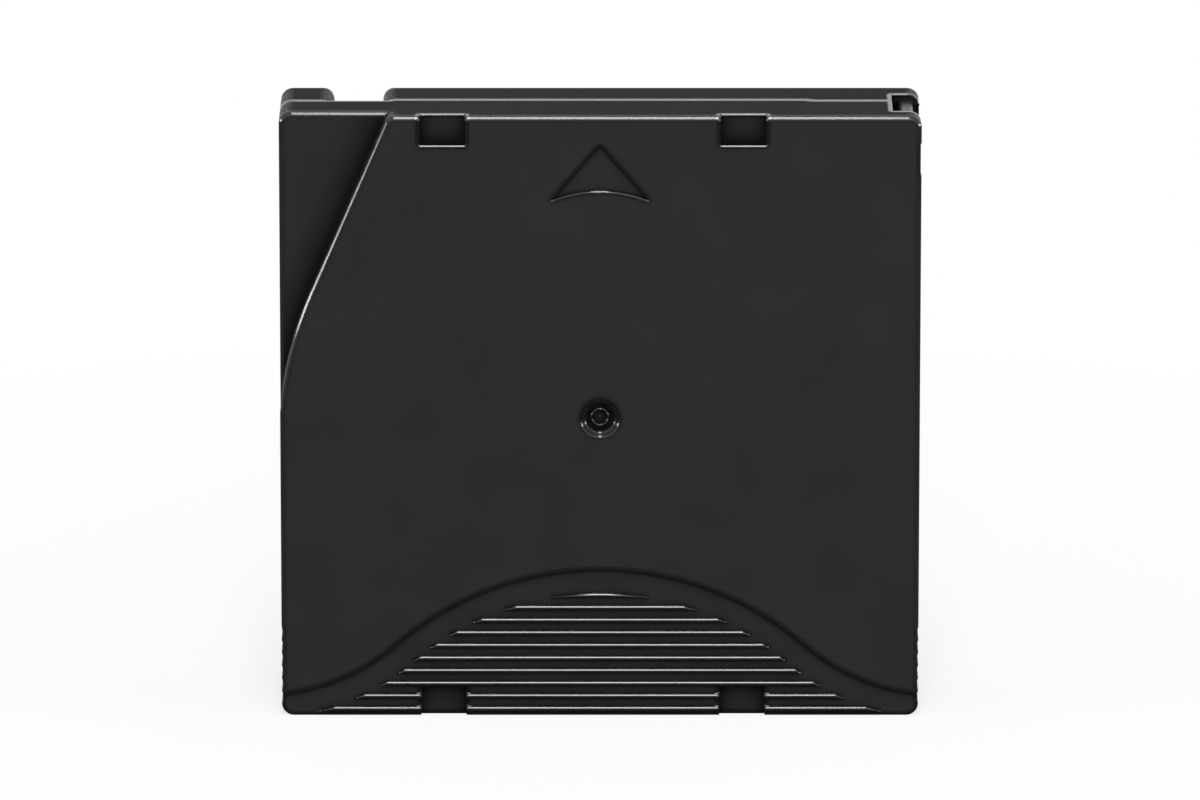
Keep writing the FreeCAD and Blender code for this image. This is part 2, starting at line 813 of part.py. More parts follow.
backing = [
    (front_x, "case_length - wall / 2"), ("-half_width + wall / 2", "case_length - wall / 2"),
    ("-half_width + wall / 2", far_y), ("-half_width - guide_over + wall", far_y, bend, "right"), turn,
]
shape(upper, "guide_backing", [backing], "guide_floor - wall", "roof + root")
shape(upper, "stack_backing", [stack_loop(x, y, "wall / 2", "-wall / 2") for x, y in stack_places()],
      "stack_floor - wall / 2", "roof + root")
box(upper, "notch_lid", ("notch_low_x - wall", "notch_high_x + wall"),
    ("notch_back_y - wall", "case_length - wall / 2"),
    ("split_height", "split_height + wall"))
rounds(upper, "screw_bosses", SCREWS, "screw_boss", ("split_height", "roof + root"))
shape(upper, "chamber", CHAMBER, "split_height", "roof + root")
pin_seat(upper, "roof - seat_high", "roof + root")
door_rail(upper, "roof - rail_high", "roof + root")
shape(upper, "brake_key", [plus_outline("key_span", "key_thick", "reel_y")],
      "key_low", "roof + root")
seat = new_sketch(upper, "spring_seat", "roof - spring_seat_wall")
circle(seat, "0", "reel_y", "spring_round + spring_wire + spring_play")
circle(seat, "0", "reel_y", "spring_round + spring_wire + spring_play + spring_seat_wall")
extrude(upper, seat, "roof - spring_seat_wall", "roof + root")

far_y, bend, front_x, turn = guide_places("0")
shape(upper, "guide_recess", [[
    (front_x, "case_length"), (front_x, "case_length + past"), ("-half_width - past", "case_length + past"),
    ("-half_width - past", far_y), ("-half_width - guide_over", far_y, bend, "right"), turn,
]], "guide_floor", "case_thick + past", cut=True)
shape(upper, "grip_field", [wave_outline()], "grip_floor", "case_thick + past", cut=True)
shape(upper, "grip_ribs", grip_ribs(), "grip_floor - root", "case_thick")
shape(upper, "stack_recesses", [stack_loop(x, y, "0", "past") for x, y in stack_places()],
      "stack_floor", "case_thick + past", cut=True)
shape(upper, "arrow", [[
    ("-arrow_half", "arrow_base_y", "arrow_arc", "right"), ("arrow_half", "arrow_base_y"),
    ("0", "arrow_tip_y"),
]], "case_thick - arrow_depth", "case_thick + past", cut=True)
turned(upper, "gate", [
    ("0", "case_thick + past"), ("gate_round", "case_thick + past"),
    ("gate_round", "case_thick - gate_step"), ("gate_cone_top", "case_thick - gate_step"),
    ("gate_cone_foot", "gate_floor"), ("gate_ring_outer", "gate_floor"),
    ("gate_ring_outer", "gate_floor + gate_ring_high"),
    ("gate_ring_inner", "gate_floor + gate_ring_high"), ("gate_ring_inner", "gate_floor"),
    ("gate_pip", "gate_floor"), ("0", "gate_floor + gate_pip_high"),
], along="reel_y", cut=True)
on_face = at_height("case_thick")
on_arrow = between(("-arrow_half", "arrow_half"), ("arrow_base_y", "arrow_tip_y"))
wave_bends = [number("wave_crown_bend"), number("wave_tail_bend")]
round_off(upper, "arrow_lips", "arrow_round", lambda edge: on_face(edge) and on_arrow(edge))
on_tail = between(("-half_width", "half_width"), ("wave_tail_y", "wave_tail_y"))
round_off(upper, "face_lips", "lip_round", lambda edge: on_face(edge) and not on_tail(edge)
          and is_sharp(upper, edge) and getattr(edge.Curve, "Radius", 0) not in wave_bends)
rounds(upper, "screw_pilots", SCREWS, "screw_shank + screw_pilot_play",
       ("split_height - past", "screw_sink + screw_long + screw_tip_play"), cut=True)

# ---------------------------------------------------------------- lower shell

lower = new_body("lower_shell")
shape(lower, "lower_block", [CASE], "0", "split_height")
round_off(lower, "lower_corners", "corner_round", upright)
round_off(lower, "lower_edges", "edge_round", at_height("0"))
round_off(lower, "lower_split", "split_round", at_height("split_height"))
shape(lower, "lower_cavity", [CAVITY], "wall", "split_height", cut=True)
shell_openings(lower, "0", "split_height")
box(lower, "notch_wall", ("notch_low_x - wall", "notch_high_x + wall"),
    ("notch_back_y - wall", "case_length - wall / 2"), ("wall / 2", "split_height"))
rounds(lower, "screw_posts", SCREWS, "screw_post", ("wall / 2", "split_height"))
rounds(lower, "locating_posts", [("locate_left_x", "locate_left_y"),
       ("locate_right_x", "locate_right_y")], "locate_round + locate_wall",
       ("wall / 2", "locate_deep + locate_wall"))
shape(lower, "lower_chamber", CHAMBER, "wall / 2", "split_height")
pin_seat(lower, "wall - root", "wall + seat_high")
door_rail(lower, "wall - root", "wall + rail_high")
box(lower, "spring_ledge", ("door_inner_x - stop_wide", "channel_outer_x + root"),
    ("channel_low_y - wall", "rail_low_y - wall"), ("wall - root",
    "tape_middle - door_spring_round - door_spring_wire - door_play"))
box(lower, "spring_stop", ("door_inner_x - stop_wide", "half_width - wall + root"),
    ("channel_low_y - wall", "channel_low_y"), ("wall - root", "tape_middle + stop_over"))
tab_run = ("tab_window_low_x - wall", "tab_window_high_x + tab_travel + wall")
tab_back = "(wall + tab_thick + 2 * tab_play)"
box(lower, "tab_ledge", tab_run, ("wall - root", f"{tab_back} + tab_guide"),
    ("wall - root", "tab_window_low - tab_over - tab_play"))
box(lower, "tab_fence", tab_run, (tab_back, f"{tab_back} + tab_guide"),
    ("wall - root", "split_height"))


def along_chip(run, out):
    """A point beside the memory module: along its length, and out toward the corner."""
    x = f"half_width - memory_side + (({run}) + ({out})) * cos(45)"
    y = f"memory_y + (({run}) - ({out})) * sin(45)"
    return x, y


def chip_block(run_low, run_high, out_low, out_high):
    """A rectangle turned to lie along the memory module."""
    return [along_chip(run_low, out_high), along_chip(run_high, out_high),
            along_chip(run_high, out_low), along_chip(run_low, out_low)]


for place, sign in enumerate(("-", "")):
    inner = f"{sign}(memory_long / 2 - memory_post / 2)"
    outer = f"{sign}(memory_long / 2 + memory_post / 2)"
    span = (outer, inner) if sign else (inner, outer)
    shape(lower, f"memory_post_{place}", [chip_block(*span, "-memory_post / 2", "memory_post / 2")],
          "wall - root", "memory_post_high")
shape(lower, "memory_slot", [chip_block(
    "-memory_long / 2 - memory_play", "memory_long / 2 + memory_play",
    "-memory_thick / 2 - memory_play", "memory_thick / 2 + memory_play")],
    "memory_low", "split_height", cut=True)
rounds(lower, "hole_rim", [("0", "reel_y")], "hole_round + hole_rim",
       ("wall / 2", "reel_low - rim_gap"))
rounds(lower, "hub_opening", [("0", "reel_y")], "hole_round", ("-past", "split_height"), cut=True)
lip_y = "case_length - notch_round"
shape(lower, "loader_notch", [[
    ("notch_low_x - notch_round", "case_length + past"),
    ("notch_low_x - notch_round", "case_length", "notch_round", "right"),
    ("notch_low_x", lip_y), ("notch_low_x", "notch_back_y"), ("notch_high_x", "notch_back_y"),
    ("notch_high_x", lip_y, "notch_round", "right"),
    ("notch_high_x + notch_round", "case_length"),
    ("notch_high_x + notch_round", "case_length + past"),
]], "-past", "split_height + past", cut=True)
rounds(lower, "screw_holes", SCREWS, "screw_shank + screw_hole_play", ("0", "split_height + past"),
       cut=True)
rounds(lower, "screw_sinks", SCREWS, "screw_head + screw_head_play", ("-past", "screw_sink"),
       cut=True)
rounds(lower, "locating_hole", [("locate_left_x", "locate_left_y")], "locate_round",
       ("-past", "locate_deep"), cut=True)
shape(lower, "locating_slot", [[
    ("locate_right_x - locate_slot_half", "locate_right_y - locate_round"),
    ("locate_right_x + locate_slot_half", "locate_right_y - locate_round", "locate_round", "left"),
    ("locate_right_x + locate_slot_half + locate_round", "locate_right_y", "locate_round", "left"),
    ("locate_right_x + locate_slot_half", "locate_right_y + locate_round"),
    ("locate_right_x - locate_slot_half", "locate_right_y + locate_round", "locate_round", "left"),
    ("locate_right_x - locate_slot_half - locate_round", "locate_right_y", "locate_round", "left"),
]], "-past", "locate_deep", cut=True)
shape(lower, "stack_ribs", [stack_loop(x, y, "-stack_play", "-edge_round")
      for x, y in stack_places()], "-stack_rib_height", "root")
round_off(lower, "stack_rib_lips", "lip_round", at_height("-stack_rib_height"))
box(lower, "split_slot", ("-split_step_half", "split_step_half"),
    ("case_length - wall - root", "case_length + past"),
    ("split_height - split_step", "split_height + past"), cut=True)
round_off(lower, "slot_edge", "split_round", front_edge("split_height - split_step"))

# ---------------------------------------------------------------- screws

fasteners = []
for place, (x, y) in enumerate(SCREWS):
    head = doc.addObject("Part::Cylinder", f"screw_head_{place}")
    bind(head, "Radius", "screw_head")
    bind(head, "Height", "screw_head_thick")
    bind(head, "Placement.Base.x", x)
    bind(head, "Placement.Base.y", y)
    bind(head, "Placement.Base.z", "screw_sink - screw_head_thick")
    shank = doc.addObject("Part::Cylinder", f"screw_shank_{place}")
    bind(shank, "Radius", "screw_shank")
    bind(shank, "Height", "screw_long")
    bind(shank, "Placement.Base.x", x)
    bind(shank, "Placement.Base.y", y)
    bind(shank, "Placement.Base.z", "screw_sink")
    socket = doc.addObject("Part::Prism", f"screw_socket_{place}")
    socket.Polygon = 6
    bind(socket, "Circumradius", "screw_socket")
    bind(socket, "Height", "screw_socket_deep")
    bind(socket, "Placement.Base.x", x)
    bind(socket, "Placement.Base.y", y)
    bind(socket, "Placement.Base.z", "screw_sink - screw_head_thick")
    joined = doc.addObject("Part::Fuse", f"screw_blank_{place}")
    joined.Base = head
    joined.Tool = shank
    screw = doc.addObject("Part::Cut", f"screw_{place}")
    screw.Base = joined
    screw.Tool = socket
    fasteners.append(screw)
screws = doc.addObject("Part::Compound", "case_screws")
screws.Label = "case_screws"
screws.Links = fasteners
stand_up(screws)
doc.recompute()

# ---------------------------------------------------------------- reel

hub = new_body("reel_hub", along="reel_y")
turned(hub, "hub_profile", [
    ("hub_hole", "hub_under"), ("boss_inner", "hub_under"), ("boss_inner", "boss_low"),
    ("boss_outer", "boss_low"), ("boss_outer", "reel_low"), ("reel_round", "reel_low"),
    ("reel_round", "flange_top"), ("hub_round", "flange_top"), ("hub_round", "upper_flange"),
    ("hub_inner", "upper_flange"), ("hub_inner", "hub_floor"),
    ("brake_ring_outer + tooth_margin", "hub_floor"), ("brake_ring_outer + tooth_margin", "brake_seat"),
    ("brake_ring_inner - tooth_margin", "brake_seat"), ("brake_ring_inner - tooth_margin", "hub_floor"),
    ("hub_hole", "hub_floor"),
])
drive_tooth = tooth(hub, "drive_tooth", "drive_tooth_deep", "drive_tooth_wide",
                    "drive_tooth_tip", "boss_inner + tooth_margin", "boss_outer - tooth_margin", "boss_low", True)
around(hub, [drive_tooth], "drive_teeth")
lock_tooth = tooth(hub, "lock_tooth", "brake_tooth_deep", "brake_tooth_wide",
                   "brake_tooth_tip", "brake_ring_inner", "brake_ring_outer", "brake_seat", False)
around(hub, [lock_tooth], "brake_teeth")
way = ("-pad_arm / 2 - pad_play", "pad_arm / 2 + pad_play")
arm_way = box(hub, "arm_way", way, ("0", "brake_ring_outer + past"),
              ("hub_floor", "brake_seat + brake_tooth_deep + past"), cut=True)
around(hub, [arm_way], "pad_legs")
leg_way = box(hub, "leg_way", way, ("pad_leg_inner - pad_play", "pad_leg_outer + pad_play"),
              ("-past", "hub_floor + past"), cut=True)
around(hub, [leg_way], "pad_legs")

flange = new_body("reel_upper_flange", along="reel_y")
turned(flange, "flange_profile", [
    ("spigot - spigot_wall", "upper_flange - spigot_deep"),
    ("spigot", "upper_flange - spigot_deep"),
    ("spigot", "upper_flange"), ("reel_round", "upper_flange"),
    ("reel_round", "upper_flange + flange_thick"),
    ("spigot - spigot_wall", "upper_flange + flange_thick"),
])

plate = new_body("clutch_plate", along="reel_y")
turned(plate, "plate_profile", [
    ("hub_hole + plate_play", "hub_under - plate_thick"),
    ("boss_inner - plate_play", "hub_under - plate_thick"),
    ("boss_inner - plate_play", "hub_under"), ("hub_hole + plate_play", "hub_under"),
])

pack = new_body("tape_pack", along="reel_y")
turned(pack, "pack_profile", [
    ("hub_round + pack_play", "tape_low"), ("pack_round", "tape_low"),
    ("pack_round", "tape_high"), ("hub_round + pack_play", "tape_high"),
])

# ---------------------------------------------------------------- brake and release pad

# The disc is turned by half a tooth, so that its teeth stand in the gaps of the hub's ring,
# and its key slot is turned back to meet the key.
HALF_PITCH = "(180 / brake_teeth)"
brake = new_body("brake_disc", along="reel_y")
turned(brake, "brake_profile", [
    ("0", "pad_tip_top + pad_gap"), ("pad_tip", "pad_tip_top + pad_gap"),
    ("pad_tip", "brake_under"), ("brake_ring_outer + brake_rim", "brake_under"),
    ("brake_ring_outer + brake_rim", "brake_top"), ("brake_stem", "brake_top"),
    ("brake_stem", "brake_stem_top"), ("0", "brake_stem_top"),
])
brake_tooth = tooth(brake, "brake_tooth", "brake_tooth_deep", "brake_tooth_wide",
                    "brake_tooth_tip", "brake_ring_inner", "brake_ring_outer", "brake_under", True)
around(brake, [brake_tooth], "brake_teeth")
key_slot = new_sketch(brake, "key_slot", "key_low - brake_lift - pad_gap")
outline(key_slot, plus_outline("(key_span + 2 * key_play)", "(key_thick + 2 * key_play)", "0"))
bind(key_slot, "AttachmentOffset.Rotation.Yaw", f"-{HALF_PITCH}")
extrude(brake, key_slot, "key_low - brake_lift - pad_gap", "brake_stem_top + past", cut=True)
bind(brake, "Placement.Rotation.Pitch", f"-{HALF_PITCH}")

release = new_body("release_pad", along="reel_y")
rounds(release, "pad_disc", [("0", "0")], "pad_round", ("pad_low", "pad_top"))
arm = box(release, "pad_arm", ("-pad_arm / 2", "pad_arm / 2"), ("0", "pad_leg_outer"),
          ("pad_low", "pad_top"))
leg = box(release, "pad_leg", ("-pad_arm / 2", "pad_arm / 2"),
          ("pad_leg_inner", "pad_leg_outer"), ("pad_leg_low", "pad_top"))
around(release, [arm, leg], "pad_legs")
rounds(release, "pad_tip", [("0", "0")], "pad_tip", ("pad_top - root", "pad_tip_top"))


def coil(label, radius, wire, turns, low, high, across="0", along="0"):
    """A compression spring about its own Z axis, from low to high."""
    body = new_body(label, across, along)
    section = new_sketch(body, label + "_wire", plane="XZ_Plane")
    circle(section, radius, f"{low} + {wire}", wire)
    feature = body.newObject("PartDesign::AdditiveHelix", label + "_helix")
    feature.Profile = section
    feature.ReferenceAxis = (section, ["V_Axis"])
    feature.Mode = "height-turns-angle"
    bind(feature, "Height", f"{high} - ({low}) - 2 * {wire}")
    bind(feature, "Turns", turns)
    apply(body, feature)
    return body


brake_spring = coil("brake_spring", "spring_round", "spring_wire", "spring_turns",
                    "brake_top", "roof", along="reel_y")

# ---------------------------------------------------------------- leader pin and its parts

pin = new_body("leader_pin", "pin_x", "pin_y")
turned(pin, "pin_profile", [
    ("0", "pin_low"), ("pin_flange", "pin_low"), ("pin_flange", "pin_low + pin_flange_thick"),
    ("pin_neck", "pin_low + pin_flange_thick"),
    ("pin_neck", "pin_low + pin_flange_thick + pin_neck_long"),
    ("pin_collar", "pin_low + pin_flange_thick + pin_neck_long"),
    ("pin_collar", "pin_low + pin_flange_thick + pin_neck_long + pin_collar_thick"),
    ("pin_core", "pin_low + pin_flange_thick + pin_neck_long + pin_collar_thick"),
    ("pin_core", "pin_high - pin_flange_thick - pin_neck_long - pin_collar_thick"),
    ("pin_collar", "pin_high - pin_flange_thick - pin_neck_long - pin_collar_thick"),
    ("pin_collar", "pin_high - pin_flange_thick - pin_neck_long"),
    ("pin_neck", "pin_high - pin_flange_thick - pin_neck_long"),
    ("pin_neck", "pin_high - pin_flange_thick"), ("pin_flange", "pin_high - pin_flange_thick"),
    ("pin_flange", "pin_high"), ("0", "pin_high"),
])

clip = new_body("tape_clip", "pin_x", "pin_y")
open_x, open_y = "cos(clip_mouth)", "sin(clip_mouth)"
shape(clip, "clip_section", [[
    (f"-clip_outer * {open_x}", f"clip_outer * {open_y}", "clip_outer", "right"),
    ("clip_outer", "0", "clip_outer", "right"),
    (f"-clip_outer * {open_x}", f"-clip_outer * {open_y}"),
    (f"-clip_inner * {open_x}", f"-clip_inner * {open_y}", "clip_inner", "left"),
    ("clip_inner", "0", "clip_inner", "left"),
    (f"-clip_inner * {open_x}", f"clip_inner * {open_y}"),
]], "tape_low", "tape_high")

leader = new_body("leader_tape")
LEADER_OUT = "(leader_x + leader_thick)"
shape(leader, "leader_section", [[
    ("leader_x", "pin_y"), ("leader_x", "reel_y", "leader_x", "right"),
    polar("leader_x", "-leader_wrap"), (*polar(LEADER_OUT, "-leader_wrap"), LEADER_OUT, "left"),
    (LEADER_OUT, "reel_y"), (LEADER_OUT, "pin_y"),
]], "tape_low", "tape_high")


def pin_spring(label, low):
    """A bent leaf that holds one end of the leader pin in its seat."""
    body = new_body(label)
    start = "pin_x - anchor_reach + leaf_play"
    knee = "(pin_x + leaf_knee)"
    bend_x, bend_y = f"{knee} + leaf_lean", "leaf_back_y - leaf_drop"
    toe_x = "pin_x + (pin_flange + leaf_gap) * cos(leaf_toe)"
    toe_y = "pin_y + (pin_flange + leaf_gap) * sin(leaf_toe)"
    shape(body, label + "_leaf", [[
        (start, "leaf_back_y"), (knee, "leaf_back_y"), (bend_x, bend_y), (toe_x, toe_y),
        (f"{toe_x} + leaf_thick", toe_y), (f"{bend_x} + leaf_thick", bend_y),
        (f"{knee} + leaf_thick", "leaf_back_y + leaf_thick"), (start, "leaf_back_y + leaf_thick"),
    ]], low, f"{low} + seat_high - 2 * leaf_play")
    return body


lower_leaf = pin_spring("pin_spring_lower", "(wall + leaf_play)")
upper_leaf = pin_spring("pin_spring_upper", "(roof - seat_high + leaf_play)")

# ---------------------------------------------------------------- door and its spring

door = new_body("access_door")
box(door, "door_plate", ("door_inner_x", "door_outer_x"), ("door_rear_y", "door_front_y"),
    ("door_low", "door_high"))
box(door, "door_lip", ("door_outer_x - door_lip", "door_outer_x"),
    ("lip_front_y - door_lip_long", "lip_front_y"),
    ("mouth_low + door_play", "mouth_high - door_play"))
lip_front, lip_side = number("lip_front_y"), number("door_outer_x - door_lip")
round_off(door, "door_lip_round", "door_lip_round", lambda edge: upright(edge)
          and abs(edge.BoundBox.YMin - lip_front) < 1e-6
          and abs(edge.BoundBox.XMin - lip_side) < 1e-6)
rod = new_sketch(door, "door_rod", "-(door_rear_y - door_rod_long)", "XZ_Plane")
circle(rod, "rod_x", "tape_middle", "door_rod")
rod_solid = door.newObject("PartDesign::Pad", "door_rod_solid")
rod_solid.Profile = rod
rod_solid.Reversed = True
bind(rod_solid, "Length", "door_rod_long + root")
apply(door, rod_solid)

door_coil = doc.addObject("PartDesign::Body", "door_spring")
door_coil.Label = "door_spring"
coil_wire = new_sketch(door_coil, "door_spring_wire", plane="XZ_Plane")
circle(coil_wire, "door_spring_round", "door_spring_wire", "door_spring_wire")
coil_run = door_coil.newObject("PartDesign::AdditiveHelix", "door_spring_helix")
coil_run.Profile = coil_wire
coil_run.ReferenceAxis = (coil_wire, ["V_Axis"])
coil_run.Mode = "height-turns-angle"
bind(coil_run, "Height", "door_rear_y - channel_low_y - 2 * door_spring_wire - 2 * leaf_gap")
bind(coil_run, "Turns", "door_spring_turns")
apply(door_coil, coil_run)
bind(door_coil, "Placement.Base.x", "rod_x")
bind(door_coil, "Placement.Base.y", "middle - tape_middle")
bind(door_coil, "Placement.Base.z", "channel_low_y + leaf_gap")

# ---------------------------------------------------------------- write protect tab, memory

tab = new_body("write_protect_tab")
box(tab, "tab_plate", ("knob_x - tab_over", "tab_window_high_x + tab_play"),
    ("wall + tab_play", "wall + tab_play + tab_thick"),
    ("tab_window_low - tab_over", "tab_window_high + tab_over"))
box(tab, "tab_knob", ("knob_x", "knob_x + tab_knob"), ("tab_sunk", "wall + tab_play + root"),
    ("tab_window_low + tab_play", "tab_window_high - tab_play"))

memory = new_body("memory_module")
shape(memory, "memory_board", [chip_block("-memory_long / 2", "memory_long / 2",
      "-memory_thick / 2", "memory_thick / 2")], "memory_low + memory_play",
      "memory_low + memory_play + memory_high")

# ---------------------------------------------------------------- checks and export

doc.recompute()

PIECES = [
    upper, lower, screws, hub, flange, plate, pack, brake, release, brake_spring, pin, clip,
    leader, lower_leaf, upper_leaf, door, door_coil, tab, memory,
]
for thing in doc.Objects:
    if "Invalid" in thing.State or "Error" in thing.State:
        raise RuntimeError(f"{thing.Name} did not build: {thing.State}")
for piece in PIECES:
    if piece.Shape.isNull() or not piece.Shape.isValid():
        raise RuntimeError(f"{piece.Label} is not a valid shape")
for piece in PIECES:
    piece.Shape.exportStep(f"parts/{piece.Label}.step")
    box_of = piece.Shape.BoundBox
    print(f"{piece.Label}: {len(piece.Shape.Solids)} solid(s), {piece.Shape.Volume:.0f} mm3, "
          f"{box_of.XLength:.1f} x {box_of.YLength:.1f} x {box_of.ZLength:.1f}")
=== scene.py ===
"""Looks of a half-inch single-reel data tape cartridge that stands on its rear face."""
import math
import bpy
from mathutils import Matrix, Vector


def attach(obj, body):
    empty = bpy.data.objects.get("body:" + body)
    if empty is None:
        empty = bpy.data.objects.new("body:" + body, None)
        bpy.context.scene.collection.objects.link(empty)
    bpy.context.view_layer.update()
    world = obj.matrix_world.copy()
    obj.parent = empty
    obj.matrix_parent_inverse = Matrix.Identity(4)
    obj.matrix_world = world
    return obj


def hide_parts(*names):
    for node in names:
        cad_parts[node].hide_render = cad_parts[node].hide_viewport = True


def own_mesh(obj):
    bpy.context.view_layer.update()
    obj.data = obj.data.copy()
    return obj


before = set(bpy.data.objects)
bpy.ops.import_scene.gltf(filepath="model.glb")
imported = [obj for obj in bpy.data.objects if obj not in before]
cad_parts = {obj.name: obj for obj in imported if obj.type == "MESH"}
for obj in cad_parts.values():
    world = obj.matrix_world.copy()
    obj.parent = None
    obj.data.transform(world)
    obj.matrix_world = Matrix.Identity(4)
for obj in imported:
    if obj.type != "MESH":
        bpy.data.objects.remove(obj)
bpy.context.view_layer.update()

bpy.ops.object.select_all(action="DESELECT")


# ---------------------------------------------------------------- upper shell
# The arrow side of the case: black polycarbonate, injection moulded through the gate in its middle
# against a spark-eroded mould, which leaves a fine even grain. The edges that face up carry a
# clear gloss in which the lamps draw bright lines; it is kept off the other edges, which paints
# highlights where light from above falls.

MM = 0.001


def new_material(name):
    """An empty node material and its shader."""
    material = bpy.data.materials.new(name)
    material.use_nodes = True
    return material, material.node_tree.nodes["Principled BSDF"]


def add_node(owner, kind, **settings):
    """A node with its plain settings; a setting that names an input fills that input."""
    node = owner.node_tree.nodes.new(kind)
    for field, entry in settings.items():
        if field in node.inputs:
            node.inputs[field].default_value = entry
        else:
            setattr(node, field, entry)
    return node


def join(owner, output, entry):
    """Links an output to an input."""
    owner.node_tree.links.new(output, entry)


def combine(owner, operation, first, second):
    """Two values in one, such as their product or the greater of the two."""
    node = add_node(owner, "ShaderNodeMath", operation=operation)
    join(owner, first, node.inputs[0])
    join(owner, second, node.inputs[1])
    return node.outputs[0]


def span(owner, entry, start, end):
    """Maps a value from the range at the start to the range at the end."""
    node = add_node(owner, "ShaderNodeMapRange")
    for field, number in zip(("From Min", "From Max", "To Min", "To Max"), (*start, *end)):
        node.inputs[field].default_value = number
    join(owner, entry, node.inputs["Value"])
    return node.outputs["Result"]


def noise(material, size, detail, stretch=(1, 1, 1)):
    """Noise on the piece's own coordinates, with patches about as large as the size in mm."""
    place = add_node(material, "ShaderNodeTexCoord")
    mapping = add_node(material, "ShaderNodeMapping", Scale=stretch)
    texture = add_node(material, "ShaderNodeTexNoise", Scale=1 / (size * MM), Detail=detail)
    join(material, place.outputs["Object"], mapping.inputs["Vector"])
    join(material, mapping.outputs["Vector"], texture.inputs["Vector"])
    return texture.outputs["Fac"]


def blend(material, share, first, second):
    """The first colour or number where the share is 0, and the second where it is 1."""
    colours = isinstance(second, tuple)
    mode, slot, result = ("RGBA", 6, 2) if colours else ("FLOAT", 2, 0)
    node = add_node(material, "ShaderNodeMix", data_type=mode)
    join(material, share, node.inputs["Factor"])
    for entry in (first, second):
        if isinstance(entry, bpy.types.NodeSocket):
            join(material, entry, node.inputs[slot])
        else:
            node.inputs[slot].default_value = (*entry, 1) if colours else entry
        slot += 1
    return node.outputs[result]


def bump(material, height, depth, normal=None):
    """A relief as deep as the depth in mm."""
    node = add_node(material, "ShaderNodeBump", Strength=1.0, Distance=depth * MM)
    join(material, height, node.inputs["Height"])
    if normal is not None:
        join(material, normal, node.inputs["Normal"])
    return node.outputs["Normal"]


def edge_share(material, reach):
    """1 along outward edges and 0 on flats, and a normal that is soft across the edges."""
    flat, edge = 0.97, 0.88
    depth = add_node(material, "ShaderNodeAmbientOcclusion", samples=8, inside=True,
                     only_local=True, Distance=reach * MM)
    soft = add_node(material, "ShaderNodeBevel", samples=8, Radius=0.5 * reach * MM)
    return span(material, depth.outputs["AO"], (flat, edge), (0.0, 1.0)), soft.outputs["Normal"]


def painted_groove_shade(material, colour, reach, darkest_painted_shade):
    """The colour with painted shade: darker in grooves, in recesses and against walls, down to a
    share of itself.
    """
    open_room, tight_room = 0.98, 0.6
    room = add_node(material, "ShaderNodeAmbientOcclusion", samples=8, only_local=True,
                    Distance=reach * MM)
    light = span(material, room.outputs["AO"], (open_room, tight_room), (1.0, darkest_painted_shade))
    shade = add_node(material, "ShaderNodeVectorMath", operation="SCALE")
    join(material, colour, shade.inputs[0])
    join(material, light, shade.inputs["Scale"])
    return shade.outputs[0]


def gloss_for_top_highlights(material, shader, edges, soft, top_highlight_gloss):
    """A clear gloss on the edges that tilt upwards, up to the given strength: the lamps reflect in
    it, and keeping it off the other edges paints highlights where light from above falls.
    """
    level, tilted = 0.03, 0.2
    facing = add_node(material, "ShaderNodeSeparateXYZ")
    join(material, soft, facing.inputs["Vector"])
    upward = span(material, facing.outputs["Z"], (level, tilted), (0.0, top_highlight_gloss))
    join(material, combine(material, "MULTIPLY", edges, upward), shader.inputs["Coat Weight"])
    join(material, soft, shader.inputs["Coat Normal"])
    shader.inputs["Coat Roughness"].default_value = 0.1
    shader.inputs["Coat IOR"].default_value = 1.6


def moulded_plastic(name, colour, edge_wear_and_shade, rough, edge_rough, grain, grain_depth, specular=0.5,
                    edge_reach=0.6, top_highlight_gloss=0.0, darkest_painted_shade=0.6):
    """Moulded plastic, in mm: a mottled colour with painted shade in grooves and against walls, an
    even grain, and smoother outward edges in an edge colour of their own, which on the black case
    is painted shade along the edges. The edges that tilt upwards can carry a clear gloss: the
    lamps reflect in it, and keeping it to those edges paints highlights there."""
    patch, patch_shade = 9.0, 0.9
    painted_shade_reach = 5.0
    uneven = 0.05
    material, shader = new_material(name)
    edges, soft = edge_share(material, edge_reach)
    mottle = span(material, noise(material, patch, 4.0), (0.35, 0.65), (0.0, 1.0))
    shaded = tuple(patch_shade * part for part in colour)
    # Outward edges take the edge colour; on the black case it is darker than the face, painted
    # shade along the edges.
    body = blend(material, edges, blend(material, mottle, shaded, colour), edge_wear_and_shade)
    # Painted shade: the colour darkens in grooves, in recesses and against walls.
    join(material, painted_groove_shade(material, body, painted_shade_reach, darkest_painted_shade), shader.inputs["Base Color"])
    fine = noise(material, grain, 3.0)
    skin = span(material, fine, (0.3, 0.7), (rough - uneven, rough + uneven))
    join(material, blend(material, edges, skin, edge_rough), shader.inputs["Roughness"])
    join(material, bump(material, fine, grain_depth, soft), shader.inputs["Normal"])
    shader.inputs["Specular IOR Level"].default_value = specular
    # A clear gloss kept to the upward edges: the lamps reflect in it, and keeping it there paints
    # highlights where light from above falls.
    if top_highlight_gloss:
        gloss_for_top_highlights(material, shader, edges, soft, top_highlight_gloss)
    return material


def dress(material, *nodes):
    """Gives nodes of the frame their material."""
    for node in nodes:
        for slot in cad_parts[node].material_slots:
            slot.material = material


# The case's edge colour is darker than its face, painted shade along its edges, and the shade
# painted in its grooves goes down to 0.3 of its colour.
case_plastic = moulded_plastic(
    "case_plastic", colour=(0.0205, 0.0205, 0.021), edge_wear_and_shade=(0.009, 0.009, 0.009),
    rough=0.5, edge_rough=0.3, grain=0.22, grain_depth=0.004, specular=0.006,
    edge_reach=0.9, top_highlight_gloss=1.0, darkest_painted_shade=0.3)
dress(case_plastic, "upper_shell")

# ---------------------------------------------------------------- lower shell
# The underside of the case, in the same plastic: it holds the hub opening, the locating holes,
# the loader notch and the stacking ribs.

dress(case_plastic, "lower_shell")

# ---------------------------------------------------------------- screws
# Four thread-forming screws that close the case from below: steel with a chemical black finish
# and a socket, sunk in the underside.

